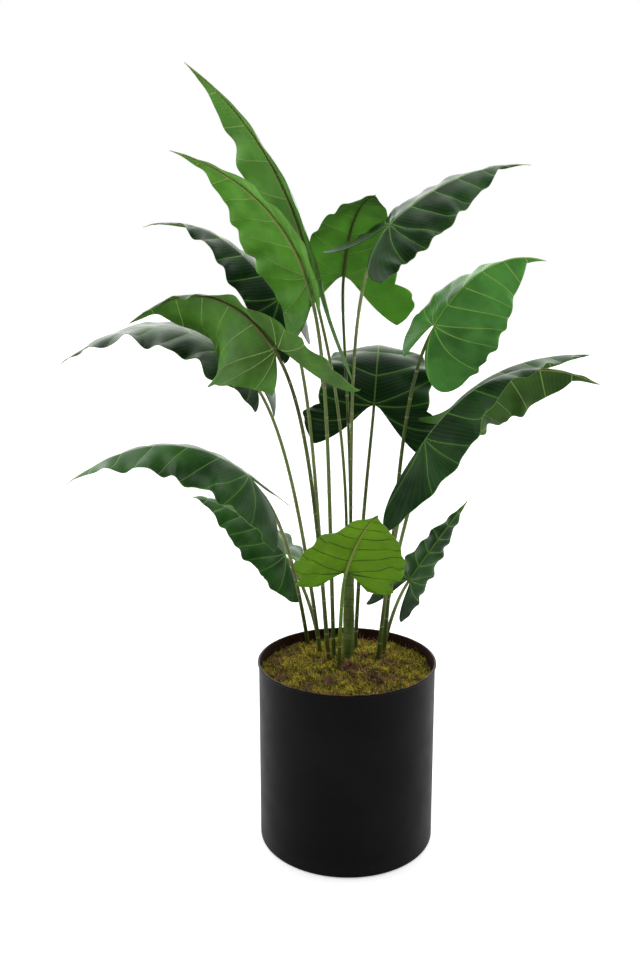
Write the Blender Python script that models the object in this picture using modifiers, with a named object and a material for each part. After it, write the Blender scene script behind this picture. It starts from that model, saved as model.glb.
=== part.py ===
"""Giant taro in a tall black cylinder planter dressed with moss.

Metres, +Z up. The origin is the middle of the planter's underside, on the floor. -Y is the side seen
in the photograph and +X is its right-hand side.
"""

import math
from collections import namedtuple

import bmesh
import bpy
import numpy as np
from mathutils import Matrix, Vector

# Planter
PLANTER_RADIUS = 0.1525
PLANTER_HEIGHT = 0.3255
PLANTER_WALL = 0.002
PLANTER_FLOOR = 0.004
RIM_LIP = 0.002
RIM_HEIGHT = 0.005
FOOT_ROUND = 0.004
PLANTER_STEPS = 40

# Filling
GAP = 0.0003
NECK_GAP = 0.0016
MOSS_EDGE_Z = 0.304
MOSS_CROWN = 0.012
MOSS_RELIEF = 0.005
MOSS_DEPTH = 0.022
MOSS_RINGS = 7
MOSS_SIDES = 40
HOLE_ROOM = 0.0006
HOLE_SIDES = 10
TRUNK_HOLE = 1.12
ROOT_Z = 0.232

# Pseudostem, which three of the stalks stand in
TRUNK_FOOT = (0.004, 0.030)
TRUNK_FOOT_RADIUS = 0.0105
TRUNK_TOP_RADIUS = 0.0090
TRUNK_TOP_Z = 0.505
SOCKET_RING = 0.0046
SOCKET_DEPTH = 0.030

# Stalks
STALK_FOOT_RADIUS = 0.0036
STALK_NECK_RADIUS = 0.0026
SOCKET_STALK_RADIUS = 0.0026
RIB_END_RADIUS = 0.0012
RIB_SHARE = 0.55
STALK_POINTS = 11
RIB_POINTS = 5

# Blades
BLADE_THICKNESS = 0.0010
WIDEST_AT = 0.40
TAIL_WIDTH = 0.9
ROWS_BEHIND = 8
ROWS_AHEAD = 18
BLADE_COLUMNS = 3
WAVES = 5.0

Leaf = namedtuple(
    "Leaf",
    "name foot top tip crest face face_tip half lobe fold fold_tip curl drop splay wave phase "
    "sinus arch round blunt end",
    defaults=((0.38, 0.38), (0.3, 0.3), 0.8, (1.0, 1.0), 0.97),
)
Leaf.__doc__ = """One leaf: its stalk and its blade.

foot is where the stalk leaves the moss, or the number of its socket in the pseudostem. top is where the
blade sits on the stalk, tip the blade's tip, and crest the point that the midrib is drawn towards on its
way. face and face_tip are the ways that the blade's upper side looks at its two ends. half is the width of
each half, and lobe the length of its basal lobe, over the midrib's length. Every pair is (left, right),
seen from the stalk with the upper side up.
fold and fold_tip are the degrees that a half stands up from flat at the midrib's two ends, and curl those
that it turns on the way to the margin. drop and splay turn each basal lobe down and out. wave is the
margin's swing over the length, and phase shifts the waves.
sinus is how far a lobe's tip stands off the midrib's line, over the lobe's length, and arch runs from an
inner edge that bends out late (0) to one that bends out at the stalk (1). round and blunt are the powers
of the width's swell up to WIDEST_AT and beyond it: the lower, the fuller. end is the share of the blade
where the swell ends."""

LEAVES = (
    Leaf("leaf_01", 1, (-0.055, 0.06, 0.97), (-0.26, 0.04, 1.305), (-0.105, 0.05, 1.19),
         (0.8, 0.2, 0.5), (0.8, 0.2, 0.5), (0.24, 0.27), (0.45, 0.3), (-8, -24), (-8, -22),
         (0, -5), (-12, 40), (0, 0), (0.003, 0.02), 0.0, arch=(0.7, 0.7)),
    Leaf("leaf_02", (-0.022, 0.036), (-0.065, -0.03, 0.975), (-0.27, -0.08, 1.16), (-0.12, -0.05, 1.12),
         (0.75, 0.5, 0.4), (0.5, 0.45, 0.75), (0.3, 0.38), (0.2, 0.3), (-22, -8), (-22, -8),
         (0, -5), (20, 40), (0, 0), (0.008, 0.02), 0.3, blunt=(1.0, 1.4)),
    Leaf("leaf_03", (-0.034, 0.085), (-0.12, 0.19, 0.935), (-0.365, 0.22, 1.06), (-0.235, 0.2, 1.1),
         (0.0, -0.5, 0.85), (0.0, -0.1, 1.0), (0.2, 0.32), (0.4, 0.4), (-15, -25), (5, -15),
         (-20, -20), (30, 30), (0, 0), (0.03, 0.01), 0.6),
    Leaf("leaf_04", (-0.031, 0.014), (-0.115, -0.06, 0.865), (-0.375, 0.1, 0.895), (-0.22, 0.01, 1.01),
         (0.3, 0.85, 0.4), (-0.1, -0.1, 0.9), (0.16, 0.4), (0.7, 0.24), (-25, -25), (-38, -40),
         (0, 0), (20, 40), (30, 10), (0.015, 0.02), 0.9, arch=(0.8, 0.8), round=1.2, blunt=(1.0, 0.45),
         end=0.86),
    Leaf("leaf_05", (-0.047, 0.064), (-0.17, 0.13, 0.805), (-0.51, 0.15, 0.82), (-0.315, 0.14, 0.96),
         (0.0, -0.25, 0.95), (0.0, -0.1, 1.0), (0.21, 0.3), (0.18, 0.28), (-8, -8), (0, 0),
         (-10, -10), (50, 50), (0, 0), (0.03, 0.01), 0.2),
    Leaf("leaf_06", (-0.07, 0.115), (-0.165, -0.02, 0.655), (-0.465, -0.03, 0.64), (-0.3, -0.03, 0.765),
         (0.0, -0.1, 1.0), (0.0, -0.1, 1.0), (0.28, 0.32), (0.42, 0.3), (-12, -12), (-12, -12),
         (-25, -15), (45, 0), (0, 0), (0.03, 0.01), 0.5),
    Leaf("leaf_07", (-0.048, 0.1), (-0.11, 0.15, 0.47), (-0.29, 0.19, 0.57), (-0.205, 0.17, 0.57),
         (0.45, -0.4, 0.8), (0.45, -0.4, 0.8), (0.32, 0.34), (0.42, 0.42), (-13, -13), (-13, -13),
         (-10, -10), (20, 20), (0, 0), (0.03, 0.03), 0.7, arch=(0.75, 0.75)),
    Leaf("leaf_08", (-0.014, -0.02), (-0.005, -0.06, 0.5), (0.04, -0.19, 0.63), (0.015, -0.12, 0.59),
         (0.0, 0.7, 0.7), (0.0, 0.7, 0.7), (0.46, 0.5), (0.22, 0.2), (-10, -12), (-10, -10),
         (-15, -15), (0, 0), (10, 10), (0.02, 0.02), 0.1, sinus=(1.0, 1.0), arch=(1.0, 1.0), round=0.6),
    Leaf("leaf_09", (0.07, 0.08), (0.115, 0.09, 0.44), (0.22, 0.12, 0.58), (0.17, 0.1, 0.52),
         (-0.3, -1.0, 0.0), (-0.1, -1.0, 0.0), (0.2, 0.27), (0.6, 0.55), (-40, -48), (-45, -50),
         (-5, -5), (15, 20), (12, 10), (0.025, 0.025), 0.4, arch=(0.6, 0.6)),
    Leaf("leaf_10", (0.056, 0.03), (0.122, -0.05, 0.72), (0.405, -0.03, 0.805), (0.235, -0.07, 0.89),
         (-0.85, -0.15, 0.45), (0.0, 0.6, 0.8), (0.36, 0.23), (0.4, 0.48), (-45, -40), (-35, -35),
         (0, 0), (40, 0), (0, -25), (0.025, 0.02), 0.8, arch=(0.45, 0.0), round=0.6, blunt=(0.6, 2.2),
         end=0.9),
    Leaf("leaf_11", (0.06, 0.06), (0.19, 0.1, 0.76), (0.435, 0.12, 0.84), (0.28, 0.1, 0.85),
         (-0.5, 0.2, 0.8), (0.0, 0.3, 0.95), (0.2, 0.28), (0.26, 0.4), (-35, -35), (-30, -30),
         (0, 0), (-60, 0), (0, 0), (0.01, 0.03), 0.15),
    Leaf("leaf_12", (0.068, 0.055), (0.135, -0.02, 0.9), (0.315, 0.0, 1.0), (0.215, -0.03, 1.03),
         (-0.5, -0.8, 0.4), (-0.1, -0.75, 0.65), (0.32, 0.45), (0.32, 0.55), (-32, -32), (-65, -32),
         (0, 0), (0, 0), (0, 48), (0.01, 0.025), 0.35, arch=(1.0, 0.1), round=0.6, blunt=(1.0, 0.5),
         end=0.9),
    Leaf("leaf_13", 3, (0.06, -0.06, 1.055), (0.28, -0.02, 1.145), (0.165, -0.05, 1.15),
         (-0.35, -0.45, 0.8), (-0.3, -0.4, 0.85), (0.34, 0.3), (0.68, 0.5), (-22, -25), (-17, -17),
         (0, 0), (-15, 0), (60, 48), (0.01, 0.025), 0.55, arch=(0.3, 0.1), round=0.6, blunt=(1.0, 0.6),
         end=0.85),
    Leaf("leaf_14", 2, (-0.005, 0.17, 0.975), (0.04, -0.03, 1.1), (0.005, 0.12, 1.1),
         (0.0, 0.95, 0.35), (0.0, 0.1, 1.0), (0.36, 0.26), (0.55, 0.4), (-10, -10), (-10, -10),
         (0, 0), (0, 30), (36, 20), (0.02, 0.02), 0.75, sinus=(0.55, 0.55), arch=(1.0, 1.0)),
    Leaf("leaf_15", (0.018, 0.085), (0.05, 0.14, 0.75), (0.07, 0.4, 0.78), (0.065, 0.2, 0.93),
         (0.0, -0.9, 0.35), (0.0, 0.3, 0.95), (0.32, 0.32), (0.44, 0.42), (-15, -15), (-15, -15),
         (0, 0), (0, 0), (45, 35), (0.02, 0.02), 0.95, sinus=(0.5, 0.5), arch=(1.0, 1.0)),
)

# Colours as (red, green, blue), roughness, metallic
BLADE_GREEN = ((0.045, 0.160, 0.040), 0.38, 0.0)
STALK_GREEN = ((0.200, 0.240, 0.080), 0.45, 0.0)
TRUNK_GREEN = ((0.130, 0.190, 0.040), 0.50, 0.0)
PLANTER_BLACK = ((0.012, 0.012, 0.012), 0.42, 0.6)
MOSS_GREEN = ((0.230, 0.210, 0.040), 0.95, 0.0)
SOIL_BROWN = ((0.060, 0.040, 0.025), 0.95, 0.0)


def unit(vectors):
    """Vectors of length one along those given, in the last axis."""
    vectors = np.asarray(vectors, float)
    return vectors / np.linalg.norm(vectors, axis=-1, keepdims=True)


def bezier(points, at):
    """A Bezier curve of any degree through numpy points, by de Casteljau's rule."""
    layer = [np.outer(np.ones(len(at)), point) for point in points]
    share = np.asarray(at, float)[:, None]
    while len(layer) > 1:
        layer = [a * (1 - share) + b * share for a, b in zip(layer, layer[1:])]
    return layer[0]


def midrib(leaf, at):
    """Points of the midrib at shares of its length, and its length."""
    fine = bezier([np.array(p, float) for p in (leaf.top, leaf.crest, leaf.tip)], np.linspace(0, 1, 101))
    run = np.concatenate([[0], np.cumsum(np.linalg.norm(np.diff(fine, axis=0), axis=1))])
    points = np.stack([np.interp(np.asarray(at) * run[-1], run, fine[:, k]) for k in range(3)], axis=1)
    return points, run[-1]


def midrib_frame(leaf, at):
    """Along, across and up at shares of the midrib's length: unit vectors, across to the right."""
    step = 0.01
    ahead, _ = midrib(leaf, np.clip(np.asarray(at) + step, 0, 1))
    behind, _ = midrib(leaf, np.clip(np.asarray(at) - step, 0, 1))
    along = unit(ahead - behind)
    share = np.asarray(at, float)[:, None]
    face = np.array(leaf.face) * (1 - share) + np.array(leaf.face_tip) * share
    up = unit(face - (face * along).sum(axis=1, keepdims=True) * along)
    return along, np.cross(along, up), up


def swell(rows, phase):
    """Uneven waves along a margin: the sum of two sines of different lengths."""
    turn = 2 * math.pi * (WAVES * rows + phase)
    return (np.sin(turn) + 0.55 * np.sin(0.57 * turn + 1.9 + 4 * phase)) / 1.3


def outline(leaf, k, rows):
    """Inner and outer edge of a half, in lengths from the midrib, at rows from lobe tip to blade tip.

    The inner edge is the midrib, and behind the stalk the sinus. The half's width rises and falls as a
    sine to a power; a narrow tail goes on to the tip."""
    back = np.clip(-rows / leaf.lobe[k], 0, 1)
    early, late = back**0.6, 1 - np.sqrt(1 - back**2)
    inner = leaf.lobe[k] * leaf.sinus[k] * (leaf.arch[k] * early + (1 - leaf.arch[k]) * late)
    share = (rows + leaf.lobe[k]) / (1 + leaf.lobe[k])
    body = np.clip(share / leaf.end, 0, 1) ** (math.log(0.5) / math.log(WIDEST_AT / leaf.end))
    bulge = np.clip(np.sin(math.pi * body), 0, None)
    bulge = bulge ** np.where(share > WIDEST_AT, leaf.blunt[k], leaf.round)
    width = np.maximum(bulge, TAIL_WIDTH * (1 - share) * (share > 0.5))
    scallop = 1 + 1.2 * leaf.wave[k] * swell(rows, leaf.phase + 0.2)
    return inner, inner + width * scallop * leaf.half[k]


def half_blade(leaf, side, rows, columns):
    """A grid of points, rows by columns, over the left (side -1) or right (side 1) half of a blade.

    Each row leaves the midrib at the fold and follows an arc, so that it turns by the curl on its way to
    the margin, where it swings by the wave. Behind the stalk the rows run along the lobe, which drops and
    splays."""
    k = 0 if side < 0 else 1
    _, length = midrib(leaf, [0, 1])
    inner, outer = outline(leaf, k, rows)
    ahead = np.clip(rows, 0, 1)
    spine, _ = midrib(leaf, ahead)
    along, across, up = midrib_frame(leaf, ahead)
    back = np.clip(-rows, 0, None) / leaf.lobe[k]
    drop = np.radians(leaf.drop[k]) * back[:, None]
    splay = np.radians(leaf.splay[k]) * back[:, None]
    rear = -along * np.cos(drop) - up * np.sin(drop)
    lobe_up = up * np.cos(drop) - along * np.sin(drop)
    lobe_out = side * across * np.cos(splay) - rear * np.sin(splay)
    rear = rear * np.cos(splay) + side * across * np.sin(splay)
    lobe = back[:, None] > 0
    out = np.where(lobe, lobe_out, side * across)
    normal = np.where(lobe, lobe_up, up)
    steps = np.diff(rows, prepend=rows[0])[:, None] * length
    walk = np.cumsum((rear * (rows <= 0)[:, None] * steps)[::-1], axis=0)[::-1]
    spine = np.where(lobe, spine + walk - walk[np.argmax(rows >= 0)], spine)
    reach = inner[:, None] + columns * (outer - inner)[:, None]
    fold = np.radians(leaf.fold[k] + (leaf.fold_tip[k] - leaf.fold[k]) * ahead)[:, None]
    bend = math.radians(leaf.curl[k]) / leaf.half[k] or 1e-6
    turn = fold + bend * reach
    x = (np.sin(turn) - np.sin(fold)) / bend * length
    z = (np.cos(fold) - np.cos(turn)) / bend * length
    ends = np.sin(math.pi * np.clip((rows + leaf.lobe[k]) / (1 + leaf.lobe[k]), 0, 1))[:, None] ** 0.8
    lift = leaf.wave[k] * length * swell(rows, leaf.phase)[:, None] * ends * columns**2
    x = x - lift * np.sin(turn)
    z = z + lift * np.cos(turn)
    return spine[:, None] + out[:, None] * x[..., None] + normal[:, None] * z[..., None]


def blade_rows(lobe, behind, ahead):
    """Rows from lobe tip to blade tip, closer at the lobe's tip, with one exactly at the stalk."""
    back = -lobe * np.cos(np.linspace(0, math.pi / 2, behind + 1))
    back[-1] = 0.0
    return np.concatenate([back, np.linspace(0, 1, ahead + 1)[1:] ** 0.95])


def new_material(name, colour, roughness, metallic):
    material = bpy.data.materials.new(name)
    material.use_nodes = True
    shader = material.node_tree.nodes["Principled BSDF"]
    shader.inputs["Base Color"].default_value = (*colour, 1)
    shader.inputs["Roughness"].default_value = roughness
    shader.inputs["Metallic"].default_value = metallic
    return material


def linked(name, data, collection, material=None):
    made = bpy.data.objects.new(name, data)
    collection.objects.link(made)
    if material:
        data.materials.append(material)
    return made


def make_blade(leaf, collection, material):
    """The blade: two grids bent to the halves, joined on the midrib and given a thickness."""
    bm = bmesh.new()
    columns = np.linspace(0, 1, BLADE_COLUMNS + 1)
    for side, lobe in ((-1, leaf.lobe[0]), (1, leaf.lobe[1])):
        rows = blade_rows(lobe, ROWS_BEHIND, ROWS_AHEAD)
        made = bmesh.ops.create_grid(bm, x_segments=len(columns) - 1, y_segments=len(rows) - 1, size=1)
        points = half_blade(leaf, side, rows, columns)
        for vert in made["verts"]:
            column = round((vert.co.x + 1) / 2 * (len(columns) - 1))
            row = round((vert.co.y + 1) / 2 * (len(rows) - 1))
            vert.co = points[row, column]
        if side < 0:
            bmesh.ops.reverse_faces(bm, faces=bm.faces[:])
    bmesh.ops.remove_doubles(bm, verts=bm.verts[:], dist=1e-5)
    bmesh.ops.triangulate(bm, faces=bm.faces[:])
    mesh = bpy.data.meshes.new(leaf.name + "_blade")
    bm.to_mesh(mesh)
    bm.free()
    blade = linked(leaf.name + "_blade", mesh, collection, material)
    solid = blade.modifiers.new("Thickness", "SOLIDIFY")
    solid.thickness = BLADE_THICKNESS
    solid.offset = 0
    mesh.shade_smooth()
    return blade


def socket_place(number):
    """Middle of one of the pseudostem's three sockets, on the ground plan."""
    angle = math.radians(180 - 120 * (number - 1))
    return TRUNK_FOOT[0] + SOCKET_RING * math.cos(angle), TRUNK_FOOT[1] + SOCKET_RING * math.sin(angle)


def stalk_line(leaf):
    """Root, foot and the upright way between them, and the radius there."""
    if isinstance(leaf.foot, int):
        x, y = socket_place(leaf.foot)
        return Vector((x, y, TRUNK_TOP_Z - SOCKET_DEPTH)), Vector((x, y, TRUNK_TOP_Z)), SOCKET_STALK_RADIUS
    x, y = leaf.foot
    foot = Vector((x, y, MOSS_EDGE_Z + MOSS_CROWN))
    lean = Vector(leaf.top) - foot
    way = Vector((0.5 * lean.x / lean.z, 0.5 * lean.y / lean.z, 1)).normalized()
    return foot - way * ((foot.z - ROOT_Z) / way.z), foot, STALK_FOOT_RADIUS


def stalk_route(leaf):
    """Points and radii along a stalk: up from the root, over at the neck, and on as a rib under the blade."""
    root, foot, radius = stalk_line(leaf)
    way = (foot - root).normalized()
    along, _, up = midrib_frame(leaf, [0.0])
    sag = min(0, *leaf.fold)
    rib_sag = min(sag, *(a + (b - a) * RIB_SHARE for a, b in zip(leaf.fold, leaf.fold_tip)))
    room = (RIB_END_RADIUS + BLADE_THICKNESS / 2 + 2 * GAP) / math.cos(math.radians(rib_sag))
    neck_room = (STALK_NECK_RADIUS + BLADE_THICKNESS / 2 + 2 * GAP) / math.cos(math.radians(sag)) + NECK_GAP
    top = np.array(leaf.top) - up[0] * neck_room
    distance = np.linalg.norm(top - np.array(foot))
    start = np.array(foot)
    rise = bezier(
        [start, start + np.array(way) * 0.55 * distance, top - along[0] * 0.16 * distance, top],
        np.linspace(0, 1, STALK_POINTS) ** 0.9,
    )
    share = np.linspace(0, RIB_SHARE, RIB_POINTS + 1)[1:]
    under, _ = midrib(leaf, share)
    _, _, above = midrib_frame(leaf, share)
    clearance = neck_room + (room - neck_room) * share[:, None] / RIB_SHARE
    rib = under - above * clearance
    points = np.concatenate([[np.array(root)], rise, rib])
    rise_radii = np.linspace(radius, STALK_NECK_RADIUS, STALK_POINTS)
    rib_radii = STALK_NECK_RADIUS + (RIB_END_RADIUS - STALK_NECK_RADIUS) * share / RIB_SHARE
    return points, np.concatenate([[radius], rise_radii, rib_radii])


def make_stalk(leaf, collection, material):
    """The stalk as one tapering tube."""
    points, radii = stalk_route(leaf)
    curve = bpy.data.curves.new(leaf.name + "_stalk", "CURVE")
    curve.dimensions = "3D"
    curve.bevel_depth = 1.0
    curve.bevel_resolution = 1
    curve.use_fill_caps = True
    spline = curve.splines.new("POLY")
    spline.points.add(len(points) - 1)
    for point, place, radius in zip(spline.points, points, radii):
        point.co = (*place, 1)
        point.radius = radius
    return linked(leaf.name + "_stalk", curve, collection, material)


def turned(name, profile, steps, collection, material):
    """A closed shape turned about the Z axis from (radius, height) pairs."""
    mesh = bpy.data.meshes.new(name)
    mesh.from_pydata([(r, 0, z) for r, z in profile], [(i, i + 1) for i in range(len(profile) - 1)], [])
    made = linked(name, mesh, collection, material)
    screw = made.modifiers.new("Turn", "SCREW")
    screw.steps = screw.render_steps = steps
    screw.use_merge_vertices = True
    screw.merge_threshold = 0.00005
    return made


def make_planter(collection, material):
    """A straight metal cylinder with a flat floor and a small rolled lip."""
    inside = PLANTER_RADIUS - PLANTER_WALL
    profile = (
        (0, PLANTER_FLOOR),
        (inside, PLANTER_FLOOR),
        (inside, PLANTER_HEIGHT - RIM_HEIGHT),
        (inside, PLANTER_HEIGHT - 0.001),
        (inside + 0.001, PLANTER_HEIGHT),
        (PLANTER_RADIUS + RIM_LIP - 0.001, PLANTER_HEIGHT),
        (PLANTER_RADIUS + RIM_LIP, PLANTER_HEIGHT - 0.001),
        (PLANTER_RADIUS + RIM_LIP, PLANTER_HEIGHT - RIM_HEIGHT + 0.001),
        (PLANTER_RADIUS, PLANTER_HEIGHT - RIM_HEIGHT),
        (PLANTER_RADIUS, FOOT_ROUND),
        (PLANTER_RADIUS - FOOT_ROUND * 0.3, FOOT_ROUND * 0.3),
        (PLANTER_RADIUS - FOOT_ROUND, 0),
        (0, 0),
    )
    return turned("planter", profile, PLANTER_STEPS, collection, material)


def moss_height(x, y):
    """Top of the moss: a low crown with cushions a few centimetres across."""
    share = np.hypot(x, y) / PLANTER_RADIUS
    crown = MOSS_CROWN * (1 - share**2)
    cushions = np.sin(61 * x + 2.1) * np.sin(57 * y + 0.7) + 0.6 * np.sin(113 * x - 71 * y)
    return MOSS_EDGE_Z + crown + MOSS_RELIEF * 0.5 * cushions


def bore(name, root, foot, radius, collection):
    """A cutter for the hole that a stalk stands in."""
    way = foot - root
    bpy.ops.mesh.primitive_cylinder_add(
        vertices=HOLE_SIDES, radius=radius, depth=way.length, location=(root + foot) / 2
    )
    cutter = bpy.context.object
    cutter.name = name
    cutter.rotation_euler = way.to_track_quat("Z", "Y").to_euler()
    cutter.hide_render = True
    cutter.display_type = "WIRE"
    for old in list(cutter.users_collection):
        old.objects.unlink(cutter)
    collection.objects.link(cutter)
    return cutter


def cut(target, cutters):
    """One Boolean that takes a collection of cutters out of an object."""
    boolean = target.modifiers.new("Holes", "BOOLEAN")
    boolean.operation = "DIFFERENCE"
    boolean.operand_type = "COLLECTION"
    boolean.collection = cutters
    boolean.solver = "EXACT"


def make_filling(collection, cutters, moss_material, soil_material):
    """Soil up to the moss, and the moss with its cushions."""
    inside = PLANTER_RADIUS - PLANTER_WALL - GAP
    soil_top = MOSS_EDGE_Z - MOSS_DEPTH - GAP
    profile = ((0, soil_top), (inside, soil_top), (inside, PLANTER_FLOOR + GAP), (0, PLANTER_FLOOR + GAP))
    soil = turned("soil", profile, PLANTER_STEPS, collection, soil_material)
    rings = [inside * i / MOSS_RINGS for i in range(MOSS_RINGS + 1)]
    underside = MOSS_EDGE_Z - MOSS_DEPTH
    profile = [(r, MOSS_EDGE_Z) for r in rings] + [(inside, underside), (0, underside)]
    moss = turned("moss", profile, MOSS_SIDES, collection, moss_material)
    graph = bpy.context.evaluated_depsgraph_get()
    mesh = bpy.data.meshes.new_from_object(moss.evaluated_get(graph))
    moss.modifiers.clear()
    moss.data = mesh
    for vert in mesh.vertices:
        if vert.co.z > MOSS_EDGE_Z - 0.001:
            vert.co.z = float(moss_height(vert.co.x, vert.co.y))
    bm = bmesh.new()
    bm.from_mesh(mesh)
    bmesh.ops.triangulate(bm, faces=bm.faces[:])
    bm.to_mesh(mesh)
    bm.free()
    for target in (soil, moss):
        cut(target, cutters)


def make_trunk(collection, cutters, material):
    """The pseudostem: a tapering upright stem with three sockets in its top."""
    x, y = TRUNK_FOOT
    bpy.ops.mesh.primitive_cone_add(
        vertices=20,
        radius1=TRUNK_FOOT_RADIUS,
        radius2=TRUNK_TOP_RADIUS,
        depth=TRUNK_TOP_Z - ROOT_Z,
        location=(x, y, (TRUNK_TOP_Z + ROOT_Z) / 2),
    )
    trunk = bpy.context.object
    trunk.name = "pseudostem"
    for old in list(trunk.users_collection):
        old.objects.unlink(trunk)
    collection.objects.link(trunk)
    trunk.data.materials.append(material)
    cut(trunk, cutters)


def main():
    for old in list(bpy.data.objects):
        bpy.data.objects.remove(old)
    scene = bpy.context.scene.collection
    plant = bpy.data.collections.new("Giant taro")
    ground_cutters = bpy.data.collections.new("Holes in the filling")
    socket_cutters = bpy.data.collections.new("Sockets")
    for made in (plant, ground_cutters, socket_cutters):
        scene.children.link(made)
    blade_green = new_material("blade", *BLADE_GREEN)
    stalk_green = new_material("stalk", *STALK_GREEN)
    trunk_green = new_material("pseudostem", *TRUNK_GREEN)
    planter_black = new_material("planter", *PLANTER_BLACK)
    moss_green = new_material("moss", *MOSS_GREEN)
    soil_brown = new_material("soil", *SOIL_BROWN)
    over = 0.03
    for leaf in LEAVES:
        make_blade(leaf, plant, blade_green)
        make_stalk(leaf, plant, stalk_green)
        root, foot, radius = stalk_line(leaf)
        way = (foot - root).normalized()
        home = socket_cutters if isinstance(leaf.foot, int) else ground_cutters
        bore(leaf.name + "_hole", root - way * GAP, foot + way * over, radius + HOLE_ROOM, home)
    x, y = TRUNK_FOOT
    low = Vector((x, y, ROOT_Z - GAP))
    high = Vector((x, y, MOSS_EDGE_Z + over))
    bore("pseudostem_hole", low, high, TRUNK_FOOT_RADIUS * TRUNK_HOLE, ground_cutters)
    make_planter(plant, planter_black)
    make_filling(plant, ground_cutters, moss_green, soil_brown)
    make_trunk(plant, socket_cutters, trunk_green)


if __name__ == "__main__":
    main()
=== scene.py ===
"""Looks of the potted giant taro: blades, stalks, pseudostem, moss and planter round the packed frame.

Metres, +Z up, in the frame's own place: the planter's underside is at the origin, and -Y is the side that
the camera looks at. Each operator makes one group of pieces, and main() runs them in order.
"""

import math
from collections import namedtuple
from functools import partial

import bpy
import numpy as np
from bpy.props import FloatProperty, FloatVectorProperty, IntProperty, PointerProperty
from bpy.types import NodeSocket, Operator, Panel, PropertyGroup, Scene
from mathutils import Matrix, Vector


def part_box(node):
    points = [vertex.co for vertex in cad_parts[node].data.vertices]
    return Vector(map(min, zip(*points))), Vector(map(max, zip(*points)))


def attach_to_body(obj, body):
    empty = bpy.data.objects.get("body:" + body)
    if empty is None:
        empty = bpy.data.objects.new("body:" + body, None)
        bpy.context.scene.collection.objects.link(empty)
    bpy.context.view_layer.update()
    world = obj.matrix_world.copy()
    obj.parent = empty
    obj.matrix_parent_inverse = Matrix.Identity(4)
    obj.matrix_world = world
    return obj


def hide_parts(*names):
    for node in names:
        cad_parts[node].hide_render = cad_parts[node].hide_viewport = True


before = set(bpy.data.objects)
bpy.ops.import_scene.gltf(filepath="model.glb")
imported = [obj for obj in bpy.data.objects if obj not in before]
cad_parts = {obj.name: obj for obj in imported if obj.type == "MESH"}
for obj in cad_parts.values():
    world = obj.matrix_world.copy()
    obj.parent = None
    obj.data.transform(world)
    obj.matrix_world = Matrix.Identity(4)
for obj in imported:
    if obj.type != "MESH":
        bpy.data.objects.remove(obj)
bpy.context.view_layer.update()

bl_info = {
    "name": "Potted giant taro",
    "version": (1, 0, 0),
    "blender": (4, 5, 0),
    "location": "3D View > Sidebar > Giant taro",
    "description": "Makes a giant taro in a black planter",
    "category": "Add Mesh",
}

# Sizes that the frame's source gives to the same pieces
SHEET = 0.002  # the planter's wall, and its rolled lip's radius
ROUND = 0.004  # the planter's floor, and its foot's radius
PLANTER_RADIUS = 0.1525
MOSS_EDGE_Z = 0.304
MOSS_CROWN = 0.012
MOSS_RELIEF = 0.005
TRUNK_FOOT = (0.004, 0.03)
TRUNK_RADII = (0.0105, 0.009)
TRUNK_TOP_Z = 0.505
SOCKET_RING = 0.0046
SOCKET_DEPTH = 0.03
ROOT_Z = 0.232
STALK_FOOT_RADIUS = 0.0036
STALK_NECK_RADIUS = 0.0026
SOCKET_STALK_RADIUS = 0.0026
NECK_ROOM = 0.0053
LEAN, RISE, BEND = 0.5, 0.55, 0.16  # of a stalk at its foot, and of its curve's two handles
WIDEST_AT = 0.4
TAIL_WIDTH = 0.9
WAVES = 5

# Sizes and colours of the looks
RIB_SHARE = 0.93  # of the midrib
RIB_TIP_RADIUS = 0.0003
RING_REACH = 0.0012  # of a growth ring, along the stalk
SCAR_REACH = 0.0009
SCAR_STEP = 0.021
SCAR_DEPTH = 0.0004
TRUNK_SIDES = 40
TRUNK_DARK = (0.065, 0.105, 0.016)
TRUNK_PALE = (0.15, 0.21, 0.05)
BED_RINGS, BED_SIDES = 60, 200
BED_DEPTH = 0.02
MOSS_TUFT = 0.0022
STRAND_WIDTH = 0.00065
SOIL_DARK = (0.02, 0.012, 0.007)
SOIL_PALE = (0.075, 0.048, 0.028)
FOOT_DUST = (0.03, 0.03, 0.03)
DULL_PATCH = (0.01, 0.009, 0.009)
WHITE = (1, 1, 1)
FLOOR_RADIUS, FLOOR_SIDES, FLOOR_Z = 20, 96, -0.0004
CAMERA_PLACE = (-0.0466, -1.639, 0.995)
CAMERA_TILT = 77.87  # degrees up from straight down
LIGHTS = (  # name, place, target, width and power in watts
    ("left_window", (-2.6, 0.2, 1.6), (0, 0, 0.7), 2.2, 15),
    ("right_window", (2.6, 0.4, 1.5), (0, 0, 0.7), 2.2, 15),
    ("top_window", (-0.3, 0.1, 3.2), (0, 0, 0.6), 2.4, 26),
)

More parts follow.
